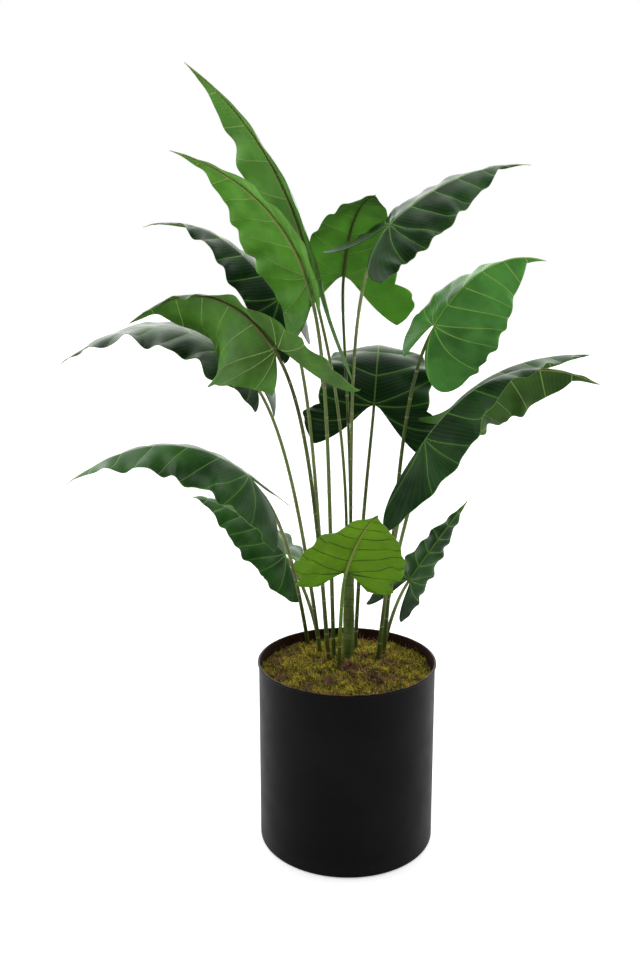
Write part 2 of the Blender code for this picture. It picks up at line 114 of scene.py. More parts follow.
Leaf = namedtuple(
    "Leaf",
    "name foot top tip crest face face_tip half lobe fold fold_tip curl drop splay wave phase tone fresh "
    "sinus arch round blunt end",
    defaults=(0.38, 0.3, 0.8, 1, 0.97),
)
# tone is the lightness (0 to 1); on the underside it also brightens the blade as painted light shining
# through it. fresh is the underside's colour, from dull green (0) over pale green (1) to yellow-green with
# veins painted dark as shadowed grooves (2); the pale green is partly painted light shining through.
Leaf.__doc__ = """One leaf, with the frame's own values for its shape.

Each of PAIRS is a pair, or one number for both: (left, right) as seen from the stalk with the upper side
up, but (upper side, underside) for tone and (stalk, tip) for fresh.
foot is where the stalk leaves the moss, or the number of its socket in the pseudostem. top is where the
blade sits on the stalk, tip the blade's tip, and crest the point that the midrib is drawn towards. The
upper side looks along face at the stalk and along face_tip at the tip. half is the width of a half and
lobe the length of its basal lobe, both over the midrib's length. fold and fold_tip are the degrees that a
half stands up from flat at the midrib's two ends, and curl those that it turns on its way to the margin.
drop and splay turn a lobe down and out. wave is the margin's swing over the length, phase its shift.
tone is the lightness (0 to 1). fresh is the underside's colour, from dull green (0) over pale green (1) to
yellow-green with dark veins (2).
sinus is how far a lobe's tip stands off the midrib's line, over the lobe's length, and arch runs from an
inner edge that bends out late (0) to one that bends out at the stalk (1). round and blunt are the powers
of the width's swell up to WIDEST_AT and beyond it. end is the share of the blade
where the swell ends."""

PAIRS = "half lobe fold fold_tip curl drop splay wave tone fresh sinus arch blunt".split()


def both(value):
    """A pair, from one or from a number for both."""
    return value if isinstance(value, tuple) else (value, value)


LEAVES = [leaf._replace(**{key: both(getattr(leaf, key)) for key in PAIRS}) for leaf in (
    Leaf("leaf_01", 1, (-0.055, 0.06, 0.97), (-0.26, 0.04, 1.305), (-0.105, 0.05, 1.19), (0.8, 0.2, 0.5),
         (0.8, 0.2, 0.5), (0.24, 0.27), (0.45, 0.3), (-8, -24), (-8, -22), (0, -5), (-12, 40), 0,
         (0.003, 0.02), 0, (0.3, 0.4), (0.9, 1.1), arch=0.7),
    Leaf("leaf_02", (-0.022, 0.036), (-0.065, -0.03, 0.975), (-0.27, -0.08, 1.16), (-0.12, -0.05, 1.12),
         (0.75, 0.5, 0.4), (0.5, 0.45, 0.75), (0.3, 0.38), (0.2, 0.3), (-22, -8), (-22, -8), (0, -5),
         (20, 40), 0, (0.008, 0.02), 0.3, (0.3, 0.6), (0.9, 0.7), blunt=(1, 1.4)),
    Leaf("leaf_03", (-0.034, 0.085), (-0.12, 0.19, 0.935), (-0.365, 0.22, 1.06), (-0.235, 0.2, 1.1),
         (0, -0.5, 0.85), (0, -0.1, 1), (0.2, 0.32), 0.4, (-15, -25), (5, -15), -20, 30, 0, (0.03, 0.01),
         0.6, 0, 0.2),
    Leaf("leaf_04", (-0.031, 0.014), (-0.115, -0.06, 0.865), (-0.375, 0.1, 0.895), (-0.22, 0.01, 1.01),
         (0.3, 0.85, 0.4), (-0.1, -0.1, 0.9), (0.16, 0.4), (0.7, 0.24), -25, (-38, -40), 0, (20, 40),
         (30, 10), (0.015, 0.02), 0.9, (0.15, 0.5), (0.1, 0.3), arch=0.8, round=1.2, blunt=(1, 0.45),
         end=0.86),
    Leaf("leaf_05", (-0.047, 0.064), (-0.17, 0.13, 0.805), (-0.51, 0.15, 0.82), (-0.315, 0.14, 0.96),
         (0, -0.25, 0.95), (0, -0.1, 1), (0.21, 0.3), (0.18, 0.28), -8, 0, -10, 50, 0, (0.03, 0.01), 0.2,
         0.02, 0.2),
    Leaf("leaf_06", (-0.07, 0.115), (-0.165, -0.02, 0.655), (-0.465, -0.03, 0.64), (-0.3, -0.03, 0.765),
         (0, -0.1, 1), (0, -0.1, 1), (0.28, 0.32), (0.42, 0.3), -12, -12, (-25, -15), (45, 0), 0,
         (0.03, 0.01), 0.5, 0.17, 0.3),
    Leaf("leaf_07", (-0.048, 0.1), (-0.11, 0.15, 0.47), (-0.29, 0.19, 0.57), (-0.205, 0.17, 0.57),
         (0.45, -0.4, 0.8), (0.45, -0.4, 0.8), (0.32, 0.34), 0.42, -13, -13, -10, 20, 0, 0.03, 0.7, 0.2, 0.2,
         arch=0.75),
    Leaf("leaf_08", (-0.014, -0.02), (-0.005, -0.06, 0.5), (0.04, -0.19, 0.63), (0.015, -0.12, 0.59),
         (0, 0.7, 0.7), (0, 0.7, 0.7), (0.46, 0.5), (0.22, 0.2), (-10, -12), -10, -15, 0, 10, 0.02, 0.1,
         (0.3, 0.42), (1.7, 2), sinus=1, arch=1, round=0.6),
    Leaf("leaf_09", (0.07, 0.08), (0.115, 0.09, 0.44), (0.22, 0.12, 0.58), (0.17, 0.1, 0.52), (-0.3, -1, 0),
         (-0.1, -1, 0), (0.2, 0.27), (0.6, 0.55), (-40, -48), (-45, -50), -5, (15, 20), (12, 10), 0.025, 0.4,
         0.09, 0.2, arch=0.6),
    Leaf("leaf_10", (0.056, 0.03), (0.122, -0.05, 0.72), (0.405, -0.03, 0.805), (0.235, -0.07, 0.89),
         (-0.85, -0.15, 0.45), (0, 0.6, 0.8), (0.36, 0.23), (0.4, 0.48), (-45, -40), -35, 0, (40, 0),
         (0, -25), (0.025, 0.02), 0.8, 0.08, (0.1, 0.2), arch=(0.45, 0), round=0.6, blunt=(0.6, 2.2),
         end=0.9),
    Leaf("leaf_11", (0.06, 0.06), (0.19, 0.1, 0.76), (0.435, 0.12, 0.84), (0.28, 0.1, 0.85),
         (-0.5, 0.2, 0.8), (0, 0.3, 0.95), (0.2, 0.28), (0.26, 0.4), -35, -30, 0, (-60, 0), 0, (0.01, 0.03),
         0.15, 0.11, (0.8, 0.4)),
    Leaf("leaf_12", (0.068, 0.055), (0.135, -0.02, 0.9), (0.315, 0, 1), (0.215, -0.03, 1.03),
         (-0.5, -0.8, 0.4), (-0.1, -0.75, 0.65), (0.32, 0.45), (0.32, 0.55), -32, (-65, -32), 0, 0, (0, 48),
         (0.01, 0.025), 0.35, (0.8, 0.66), 0.5, arch=(1, 0.1), round=0.6, blunt=(1, 0.5), end=0.9),
    Leaf("leaf_13", 3, (0.06, -0.06, 1.055), (0.28, -0.02, 1.145), (0.165, -0.05, 1.15), (-0.35, -0.45, 0.8),
         (-0.3, -0.4, 0.85), (0.34, 0.3), (0.68, 0.5), (-22, -25), -17, 0, (-15, 0), (60, 48), (0.01, 0.025),
         0.55, 0.06, 0.3, arch=(0.3, 0.1), round=0.6, blunt=(1, 0.6), end=0.85),
    # leaf_14: its underside pale by the stalk, dull at the tip and lighter as a whole, as painted light
    # shining through the backlit blade
    Leaf("leaf_14", 2, (-0.005, 0.17, 0.975), (0.04, -0.03, 1.1), (0.005, 0.12, 1.1), (0, 0.95, 0.35),
         (0, 0.1, 1), (0.36, 0.26), (0.55, 0.4), -10, -10, 0, (0, 30), (36, 20), 0.02, 0.75, (0.3, 1),
         (1.1, 0.1), sinus=0.55, arch=1),
    Leaf("leaf_15", (0.018, 0.085), (0.05, 0.14, 0.75), (0.07, 0.4, 0.78), (0.065, 0.2, 0.93),
         (0, -0.9, 0.35), (0, 0.3, 0.95), 0.32, (0.44, 0.42), -15, -15, 0, 0, (45, 35), 0.02, 0.95, 0, 0.1,
         sinus=0.5, arch=1),
)]

BROWN_STALKS = ("leaf_04", "leaf_12", "leaf_14", "leaf_15")


# Settings

def setting(kind, name, description, default, **limits):
    """A setting of a kind that bpy.props has."""
    return kind(name=name, description=description, default=default, **limits)


whole = partial(setting, IntProperty, min=0)
amount = partial(setting, FloatProperty)
distance = partial(setting, FloatProperty, min=0, unit="LENGTH")
colour = partial(setting, FloatVectorProperty, subtype="COLOR", size=3, min=0, max=1)


class BladeSettings(PropertyGroup):
    rows_behind: whole("Lobe rows", "Rows over a basal lobe", 36, min=4)
    rows_ahead: whole("Body rows", "Rows from stalk to tip", 96, min=8)
    columns: whole("Columns", "Columns over a half", 28, min=4)
    veins: amount("Veins", "Side veins of a half, ahead of the stalk", 6)
    lobe_veins: amount("Lobe veins", "Veins that fan into a lobe", 3.4)
    thickness: distance("Thickness", "Thickness of the blade", 0.0008)
    quilt: distance("Quilting", "Height of the swell between two side veins", 0.0026)
    dents: distance("Dents", "Height of the slow dents in a blade", 0.0032)
    upper_dark: colour("Upper dark", "Darkest green of the upper side", (0.003, 0.022, 0.004))
    upper_light: colour("Upper light", "Lightest green of the upper side", (0.12, 0.4, 0.07))
    # Painted grey sheen: the reflection on level upper sides of dark leaves, painted into their colour
    dust: colour("Dust", "Dust on level parts of dark leaves", (0.21, 0.28, 0.19))
    upper_vein: colour("Upper vein", "Veins on the upper side", (0.33, 0.58, 0.11))
    under_dull: colour("Under dull", "Dullest green of the underside", (0.05, 0.13, 0.016))
    under_pale: colour("Under pale", "Palest green of the underside", (0.095, 0.29, 0.026))
    under_fresh: colour("Under fresh", "Yellow-green of the youngest underside", (0.13, 0.29, 0.01))
    under_vein: colour("Under vein", "Veins on the underside", (0.32, 0.5, 0.12))
    # Painted shade: the dark of the creases beside the underside's veins, also the colour of the veins of a
    # yellow-green underside, painted dark as shadowed grooves
    crease_shade: colour("Crease", "Creases by the veins of the underside", (0.015, 0.045, 0.004))
    tip: colour("Tip", "Tip of a blade", (0.19, 0.25, 0.08))


class StalkSettings(PropertyGroup):
    sides: whole("Sides", "Sides of a stalk", 16, min=6)
    step: distance("Step", "Distance between two rings of the mesh", 0.01)
    node_step: distance("Node step", "Distance between two growth rings", 0.046)
    node_height: distance("Node height", "How far a growth ring stands out", 0.0004)
    # Foot: browner near the moss, and darker there partly as painted shade
    foot: colour("Foot", "Colour near the moss", (0.06, 0.1, 0.012))
    upper: colour("Upper", "Colour under the blade", (0.26, 0.32, 0.11))
    fresh: colour("Fresh", "Colour under a young blade", (0.13, 0.26, 0.02))
    rib: colour("Rib", "The rib under a blade", (0.3, 0.33, 0.09))
    dark_rib: colour("Dark rib", "The rib under the blade of a brown stalk", (0.11, 0.095, 0.035))
    streak: colour("Streak", "Brown streaks", (0.06, 0.035, 0.015))
    ring: colour("Ring", "Growth rings", (0.42, 0.44, 0.25))


class MossSettings(PropertyGroup):
    seed: whole("Seed", "Start of the random draw", 7)
    strands: whole("Strands", "Strands in each layer", 10000)
    shortest: distance("Shortest", "Shortest strand", 0.004)
    longest: distance("Longest", "Longest strand", 0.009)
    litter: whole("Litter", "Dry fibres that stick out", 900)
    gold: colour("Gold", "Dry moss", (0.43, 0.33, 0.04))
    olive: colour("Olive", "Shaded moss", (0.15, 0.14, 0.02))
    green: colour("Green", "Living moss", (0.12, 0.19, 0.02))
    brown: colour("Brown", "Bark and litter", (0.19, 0.095, 0.06))


class PlanterSettings(PropertyGroup):
    steps: whole("Steps", "Sides round the planter", 160, min=16)
    paint: colour("Paint", "Black coat", (0.0024, 0.0024, 0.0026))
    inside: colour("Inside", "Inner wall", (0.03, 0.012, 0.009))
    edge: colour("Edge", "Rubbed edge of the rim", (0.18, 0.06, 0.05))
    roughness: amount("Roughness", "Roughness of the coat", 0.42)


class StageSettings(PropertyGroup):
    floor: colour("Floor", "Pale floor", (0.92, 0.92, 0.92))
    glow: amount("Glow", "White that the camera sees over the floor", 0.45)
    sky: amount("Surroundings", "Strength of the white room", 0.8)
    lens: amount("Lens", "Focal length in millimetres", 37.64)


# Curves and surfaces

def unit(vectors):
    """Vectors of length one along those given."""
    vectors = np.asarray(vectors, float)
    return vectors / np.maximum(np.linalg.norm(vectors, axis=-1, keepdims=True), 1e-12)


def bezier(points, at):
    """A Bezier curve of any degree, by de Casteljau's rule."""
    layer = [np.outer(np.ones(len(at)), point) for point in points]
    share = np.asarray(at, float)[:, None]
    while len(layer) > 1:
        layer = [a * (1 - share) + b * share for a, b in zip(layer, layer[1:])]
    return layer[0]


def lengths_along(points):
    """Length of a route of points from its start to each of them."""
    return np.concatenate([[0], np.cumsum(np.linalg.norm(np.diff(points, axis=0), axis=1))])


def points_at(lengths, run, points):
    """Points of a route at lengths along it."""
    return np.stack([np.interp(lengths, run, points[:, k]) for k in range(3)], axis=1)


def circle(count):
    """Angles spread evenly round a circle, with their cosines and sines."""
    turn = np.linspace(0, 2 * math.pi, count, endpoint=False)
    return turn, np.cos(turn), np.sin(turn)


def midrib(leaf, at):
    """Points of the midrib at shares of its length, and its length: a Bezier curve top, crest, tip."""
    fine = bezier([leaf.top, leaf.crest, leaf.tip], np.linspace(0, 1, 101))
    run = lengths_along(fine)
    return points_at(np.asarray(at) * run[-1], run, fine), run[-1]


def midrib_frame(leaf, at):
    """Along, across and up at shares of the midrib's length: unit vectors, across to the right."""
    at = np.asarray(at, float)
    ahead, behind = (midrib(leaf, np.clip(at + step, 0, 1))[0] for step in (0.01, -0.01))
    along = unit(ahead - behind)
    share = at[:, None]
    face = np.array(leaf.face) * (1 - share) + np.array(leaf.face_tip) * share
    up = unit(face - (face * along).sum(axis=1, keepdims=True) * along)
    return along, np.cross(along, up), up


def swell(rows, phase):
    """Uneven waves along a margin: the sum of three sines of different lengths."""
    turn = 2 * math.pi * (WAVES * rows + phase)
    long, short = np.sin(0.57 * turn + 1.9 + 4 * phase), np.sin(1.63 * turn + 5 * phase)
    return (np.sin(turn) + 0.55 * long + 0.35 * short) / 1.3


def outline(leaf, k, rows):
    """Inner and outer edge of a half, in lengths from the midrib, at rows from lobe tip to blade tip.

    The inner edge is the midrib, and behind the stalk the sinus. The half's width rises and falls as a
    sine to a power; a narrow tail goes on to the tip."""
    lobe, arch = leaf.lobe[k], leaf.arch[k]
    back = np.clip(-rows / lobe, 0, 1)
    early, late = back**0.6, 1 - np.sqrt(1 - back**2)
    inner = lobe * leaf.sinus[k] * (arch * early + (1 - arch) * late)
    share = (rows + lobe) / (1 + lobe)
    body = np.clip(share / leaf.end, 0, 1) ** (math.log(0.5) / math.log(WIDEST_AT / leaf.end))
    power = np.where(share > WIDEST_AT, leaf.blunt[k], leaf.round)
    bulge = np.clip(np.sin(math.pi * body), 0, None) ** power
    width = np.maximum(bulge, TAIL_WIDTH * (1 - share) * (share > 0.5))
    scallop = 1 + 1.2 * leaf.wave[k] * swell(rows, leaf.phase + 0.2)
    return inner, inner + width * scallop * leaf.half[k]


def blade_rows(lobe, behind, ahead):
    """Rows from lobe tip to blade tip, closer at the lobe's tip, with one exactly at the stalk."""
    back = -lobe * np.cos(np.linspace(0, math.pi / 2, behind + 1))
    back[-1] = 0
    return np.concatenate([back, np.linspace(0, 1, ahead + 1)[1:] ** 0.95])


def venation(rows, reach, veins, lobe_veins):
    """Vein number over a half, whole on each vein.

    Ahead of the stalk a side vein leaves the midrib, leans forward and bends on as the square of its
    reach. Behind it the veins fan out from the stalk, numbered by their angle."""
    forward = rows - 0.4 * reach - 0.9 * reach**2
    fan = np.arctan2(-forward, reach + 1e-6) / (math.pi / 2)
    return np.where(forward >= 0, forward * veins, -fan * lobe_veins)


def vein_pitch(rise, over, number):
    """Distance between two veins at each point: one over the slope of the vein number on the surface.

    rise and over are the surface's steps along its rows and columns."""
    d_rise, d_over = np.gradient(number)
    e, f, g = (rise * rise).sum(-1), (rise * over).sum(-1), (over * over).sum(-1)
    slope = np.sqrt(np.abs(g * d_rise**2 - 2 * f * d_rise * d_over + e * d_over**2))
    return np.clip(np.sqrt(np.abs(e * g - f * f)) / np.maximum(slope, 1e-9), 0.0005, 0.1)


def half_blade(leaf, side, settings):
    """Points of a half of a blade, rows by columns, with its venation, its place on the leaf and its dust.

    side is -1 for the left half and 1 for the right one. Each row leaves the midrib at the fold and
    follows an arc that turns by the curl on its way to the margin, where it swings by the wave. Between
    two veins the sheet swells by the quilting, and slow dents, the product of two sines, cross it. Behind
    the stalk the rows run along the lobe, which drops and splays. Dust lies where the upper side of a dark
    leaf is nearly level."""
    k = 0 if side < 0 else 1
    rows = blade_rows(leaf.lobe[k], settings.rows_behind, settings.rows_ahead)
    columns = np.linspace(0, 1, settings.columns + 1) ** 0.9
    inner, outer = (edge[:, None] for edge in outline(leaf, k, rows))
    ahead = np.clip(rows, 0, 1)
    spine, length = midrib(leaf, ahead)
    along, across, up = midrib_frame(leaf, ahead)
    across = side * across
    row, ahead = rows[:, None], ahead[:, None]

    back = np.clip(-row, 0, None) / leaf.lobe[k]
    drop, splay = np.radians(leaf.drop[k]) * back, np.radians(leaf.splay[k]) * back
    rear = -along * np.cos(drop) - up * np.sin(drop)
    lobe_up = up * np.cos(drop) - along * np.sin(drop)
    lobe_out = across * np.cos(splay) - rear * np.sin(splay)
    rear = rear * np.cos(splay) + across * np.sin(splay)
    out = np.where(back > 0, lobe_out, across)
    normal = np.where(back > 0, lobe_up, up)
    steps = np.diff(rows, prepend=rows[0])[:, None] * length
    walk = np.cumsum((rear * (row <= 0) * steps)[::-1], axis=0)[::-1]
    spine = np.where(back > 0, spine + walk - walk[np.argmax(rows >= 0)], spine)

    reach = inner + columns * (outer - inner)
    fold = np.radians(leaf.fold[k] + (leaf.fold_tip[k] - leaf.fold[k]) * ahead)
    bend = math.radians(leaf.curl[k]) / leaf.half[k] or 1e-6
    turn = fold + bend * reach
    x = (np.sin(turn) - np.sin(fold)) / bend * length
    z = (np.cos(fold) - np.cos(turn)) / bend * length
    number = venation(row, reach, settings.veins, settings.lobe_veins)
    ends = np.sin(math.pi * np.clip((row + leaf.lobe[k]) / (1 + leaf.lobe[k]), 0, 1)) ** 0.8
    swing = leaf.wave[k] * length * swell(row, leaf.phase)
    pillow = np.abs(np.sin(math.pi * number)) ** 0.8 * np.sin(math.pi * np.clip(columns, 0.02, 0.98)) ** 0.5
    dents = np.sin(11 * row + 9 * reach + 7 * leaf.phase) * np.sin(17 * reach - 6 * row + side)
    lift = swing * ends * columns**2 + (settings.quilt * pillow + settings.dents * dents * columns) * ends
    x, z = x - lift * np.sin(turn), z + lift * np.cos(turn)
    points = spine[:, None] + out[:, None] * x[..., None] + normal[:, None] * z[..., None]

    rise, over = np.gradient(points, axis=(0, 1))
    from_rib = np.where(row >= 0, reach, np.hypot(reach, row)) * length
    where = np.stack([number, vein_pitch(rise, over, number), from_rib], axis=-1)
    # The underside's colour along the blade, partly painted light shining through it
    fresh = leaf.fresh[0] + (leaf.fresh[1] - leaf.fresh[0]) * ahead**0.7
    place = np.stack([columns + 0 * reach, row + 0 * reach, fresh + 0 * reach], axis=-1)
    # Painted grey sheen, standing for the reflection at a grazing angle, on nearly level upper sides of dark
    # leaves
    level = np.clip((np.abs(unit(np.cross(rise, over))[..., 2]) - 0.8) / 0.18, 0, 1)
    dust = level * np.clip((0.16 - leaf.tone[0]) / 0.14, 0, 1)
    return points, where, place, dust


def grid_faces(numbers, flip=False):
    """Quads over a grid of vertex numbers; flip turns them over."""
    a, b = numbers[:-1, :-1].ravel(), numbers[:-1, 1:].ravel()
    c, d = numbers[1:, 1:].ravel(), numbers[1:, :-1].ravel()
    return np.stack([a, d, c, b] if flip else [a, b, c, d], axis=1)


def fan(pole, ring):
    """Triangles from a pole to each side of a ring of vertex numbers."""
    return np.stack([np.full(len(ring) - 1, pole), ring[:-1], ring[1:]], axis=1)


def wrapped_grid(rings, sides):
    """Vertex numbers of rings, each with its first number again at its end."""
    numbers = np.arange(rings * sides).reshape(rings, sides)
    return np.concatenate([numbers, numbers[:, :1]], axis=1)


def tube_faces(rings, sides):
    """Faces of a tube of rings, with a flat face over each end."""
    wrapped = wrapped_grid(rings, sides)
    return [grid_faces(wrapped), wrapped[:1, -2::-1], wrapped[-1:, :-1]]


def capped(rings, poles):
    """Points and faces of rings of points, closed by a pole over the first and the last."""
    wrapped = wrapped_grid(*rings.shape[:2])
    points = np.concatenate([rings.reshape(-1, 3), poles])
    pole = len(points) - 2
    return points, [grid_faces(wrapped, flip=True), fan(pole, wrapped[0]), fan(pole + 1, wrapped[-1, ::-1])]


def tube(points, radii, sides, side_way):
    """Rings of points round a route, each turned so that its first corner keeps facing side_way."""
    along = unit(np.gradient(points, axis=0))
    first = unit(side_way - (along * side_way).sum(-1, keepdims=True) * along)
    second = np.cross(along, first)
    _, cos, sin = circle(sides)
    ring = first[:, None] * cos[:, None] + second[:, None] * sin[:, None]
    return points[:, None] + ring * radii[:, None, None]


# Meshes and nodes

def put(name, data):
    """A new object in the scene."""
    made = bpy.data.objects.new(name, data)
    bpy.context.scene.collection.objects.link(made)
    return made


def piece(name, points, faces, materials, node):
    """A mesh object made of arrays, which rides on the root body and stands for a node of the frame.

    faces is a list of arrays, each with one face a row."""
    points = points.reshape(-1, 3)
    mesh = bpy.data.meshes.new(name)
    mesh.vertices.add(len(points))
    mesh.vertices.foreach_set("co", points.ravel())
    sizes = np.concatenate([np.full(len(group), group.shape[1]) for group in faces])
    mesh.loops.add(int(sizes.sum()))
    mesh.loops.foreach_set("vertex_index", np.concatenate([group.ravel() for group in faces]))
    mesh.polygons.add(len(sizes))
    mesh.polygons.foreach_set("loop_start", np.cumsum(sizes) - sizes)
    for material in materials:
        mesh.materials.append(material)
    mesh.update(calc_edges=True)
    mesh.validate()
    mesh.shade_smooth()
    made = put(name, mesh)
    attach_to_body(made, "root")
    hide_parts(node)
    return made


def attach(made, **values):
    """Values for each vertex, numbers or vectors, that the materials read by name."""
    for name, value in values.items():
        vector = value.ndim > 1
        data = made.data.attributes.new(name, "FLOAT_VECTOR" if vector else "FLOAT", "POINT").data
        data.foreach_set("vector" if vector else "value", value.ravel())


class Nodes:
    """A node tree. Each call adds nodes and gives back an output."""

    def __init__(self, tree):
        self.tree = tree

    def wire(self, socket, value):
        if isinstance(value, NodeSocket):
            self.tree.links.new(value, socket)
        elif socket.type == "RGBA" and len(value) == 3:
            socket.default_value = (*value, 1)
        else:
            socket.default_value = value

    def node(self, kind, inputs=(), **settings):
        """The outputs of a new node."""
        made = self.tree.nodes.new("ShaderNode" + kind)
        for key, value in settings.items():
            setattr(made, key, value)
        for key, value in dict(inputs).items():
            self.wire(made.inputs[key], value)
        return made.outputs

    def split(self, vector):
        """The three parts of a vector."""
        return self.node("SeparateXYZ", {0: vector})[:3]

    def math(self, operation, a, b=0, clamp=False):
        return self.node("Math", {0: a, 1: b}, operation=operation, use_clamp=clamp)[0]

    def times(self, a, b):
        return self.math("MULTIPLY", a, b)

    def minus(self, a, b):
        return self.math("SUBTRACT", a, b)

    def fade(self, value, low, high, to_low=0, to_high=1, kind="SMOOTHSTEP"):
        """A step from to_low to to_high while the value goes from low to high."""
        inputs = {"Value": value, "From Min": low, "From Max": high, "To Min": to_low, "To Max": to_high}
        return self.node("MapRange", inputs, interpolation_type=kind)["Result"]


class Finish(Nodes):
    """A material's nodes. Coats lie over its base colour, tints darken or lighten it, bumps add relief."""

    def __init__(self, name, base):
        self.material = bpy.data.materials.new(name)
        self.material.use_nodes = True
        super().__init__(self.material.node_tree)
        self.shader = self.tree.nodes["Principled BSDF"]
        self.place = self.node("TexCoord")["Object"]
        self.base = base
        self.normal = None

    def value(self, name):
        """An attribute that is a number."""
        return self.node("Attribute", attribute_name=name)["Fac"]

    def parts(self, name):
        """The three parts of an attribute that is a vector."""
        return self.split(self.node("Attribute", attribute_name=name)["Vector"])

    def noise(self, scale, detail=3, stretch=None):
        """Noise over the object's place; a stretch below 1 draws it out along Z."""
        vector = self.place
        if stretch:
            vector = self.node("Mapping", {"Vector": vector, "Scale": (1, 1, stretch)})[0]
        return self.node("TexNoise", {"Vector": vector, "Scale": scale, "Detail": detail})["Fac"]

    def cloud(self, scale, factor):
        """Noise about zero, times a factor."""
        return self.times(self.minus(self.noise(scale, 4), 0.5), factor)

    def mix(self, share, a, b, blend="MIX"):
        return self.node("Mix", {"Factor": share, 6: a, 7: b}, data_type="RGBA", blend_type=blend)[2]

    def coat(self, share, colour):
        self.base = self.mix(share, self.base, colour)

    def tint(self, factor):
        self.base = self.mix(1, self.base, factor, "MULTIPLY")

    def bump(self, height, distance, strength):
        inputs = {"Height": height, "Distance": distance, "Strength": strength}
        if self.normal is not None:
            inputs["Normal"] = self.normal
        self.normal = self.node("Bump", inputs)["Normal"]

    def done(self, roughness, specular=0.5, **values):
        """The material, with its shader set; an underscore stands for a space."""
        values.update(Base_Color=self.base, Roughness=roughness, Specular_IOR_Level=specular)
        if self.normal is not None:
            values["Normal"] = self.normal
        for key, value in values.items():
            self.wire(self.shader.inputs[key.replace("_", " ")], value)
        return self.material


def off_whole(skin, number):
    """Distance of a number from the nearest whole one."""
    return skin.math("ABSOLUTE", skin.minus(number, skin.math("ROUND", number)))


def vein_lines(skin):
    """Share of a vein at a point, share of a fine vein, distance to the nearest vein and to the midrib."""
    number, pitch, from_rib = skin.parts("venation")
    off = skin.times(off_whole(skin, number), pitch)
    width = skin.fade(from_rib, 0, 0.1, 0.0012, 0.0006)
    side_vein = skin.fade(skin.math("DIVIDE", off, width), 0.4, 1.2, 1, 0)
    rib = skin.fade(from_rib, 0.0008, 0.002, 1, 0)
    fine_vein = skin.fade(off_whole(skin, skin.times(number, 7)), 0.02, 0.25, 1, 0)
    return skin.math("MAXIMUM", side_vein, rib), fine_vein, off, from_rib


def upper_finish(look):
    """Upper side of a blade: dark, glossy green with pale veins sunk in it, dust and an olive tip."""
    skin = Finish("blade_upper", look.upper_dark)
    reach, row, _ = skin.parts("leaf_place")
    tone = skin.value("upper_tone")
    vein, fine, off, _ = vein_lines(skin)
    cloud = skin.cloud(14, skin.fade(tone, 0, 0.7, 0.4, 2))
    skin.coat(skin.math("ADD", tone, cloud, True), look.upper_light)
    # Painted light in a narrow band beside each vein of the upper side
    skin.coat(skin.fade(off, 0, 0.006, 0.1, 0), look.upper_light)
    skin.coat(skin.fade(row, 0.86, 1, 0, 0.7), look.tip)
    # Painted grey sheen on level parts of dark leaves, patchy with the cloud
    sheen_share = skin.times(skin.value("dust"), 0.5)
    skin.coat(skin.times(sheen_share, skin.fade(cloud, -0.1, 0.1, 0.7, 1.1)), look.dust)
    skin.coat(skin.times(fine, 0.03), look.upper_vein)
    skin.coat(skin.times(vein, skin.fade(tone, 0, 1, 0.28, 0.95)), look.upper_vein)
    skin.coat(skin.fade(reach, 0.975, 0.995, 0, 0.4), look.upper_vein)
    skin.bump(skin.minus(1, vein), 0.0005, 0.7)
    skin.bump(fine, 0.0002, 0.06)
    skin.bump(skin.noise(42), 0.0024, 0.4)
    return skin.done(skin.fade(skin.noise(30), 0.3, 0.7, 0.3, 0.44), 0.15)


def under_finish(look):
    """Underside of a blade: more matt and paler, with raised veins, dark where it is yellow-green."""
    skin = Finish("blade_under", look.under_dull)
    _, row, fresh = skin.parts("leaf_place")
    vein, fine, off, from_rib = vein_lines(skin)
    # Pale green, partly painted light shining through the blade
    skin.coat(skin.math("ADD", fresh, skin.cloud(12, 1.3), True), look.under_pale)
    skin.coat(skin.fade(fresh, 1.1, 1.9), look.under_fresh)
    # Lighter by the leaf's underside tone: painted light shining through the blade
    skin.tint(skin.fade(skin.value("under_tone"), 0, 1, 0.7, 1.7))
    skin.tint(skin.fade(skin.noise(24), 0.3, 0.7, 0.86, 1.12))
    # Painted shade in the creases beside the veins, near the stalk
    crease_shade = skin.fade(off, 0.0006, 0.0035, 0.75, 0)
    crease_shade = skin.times(crease_shade, skin.fade(row, -0.05, 0.05, 1, 0))
    crease_shade = skin.times(crease_shade, skin.fade(from_rib, 0.015, 0.06, 1, 0))
    skin.coat(crease_shade, look.crease_shade)
    skin.coat(skin.fade(row, 0.86, 1, 0, 0.6), look.tip)
    skin.coat(skin.times(fine, 0.04), look.under_vein)
    # Veins painted dark as shadowed grooves where the underside is yellow-green
    line = skin.mix(skin.fade(fresh, 1.3, 1.7), look.under_vein, look.crease_shade)
    skin.coat(skin.times(vein, 0.8), line)
    skin.bump(vein, 0.0008, 0.8)
    skin.bump(fine, 0.0002, 0.08)
    skin.bump(skin.noise(42), 0.003, 0.5)
    return skin.done(0.5, 0.15)


def stalk_finish(look, name, dark):
    """A stalk: olive, browner and darker low down, with pale growth rings and streaks along it.

    dark is the share of brown, from 0 for a plain stalk."""
    skin = Finish(name, look.foot)
    climb, ring, fresh = skin.parts("climb")
    upper = skin.mix(fresh, look.upper, look.fresh)
    # From the foot colour up to the upper one: browner low down, and darker there partly as painted shade
    skin.coat(skin.fade(climb, 0, 0.6, 0, 1 - dark), upper)
    skin.coat(skin.fade(skin.noise(60, 4, 0.06), 0.45, 0.68, 0, 0.5 + 0.4 * dark), look.streak)
    skin.coat(skin.fade(climb, 1, 1.04, 0, 0.8), look.dark_rib if dark else look.rib)
    skin.coat(skin.times(ring, 0.6), look.ring)
    skin.bump(skin.noise(90, 3, 0.15), 0.0005, 0.5)
    return skin.done(0.42, 0.2)


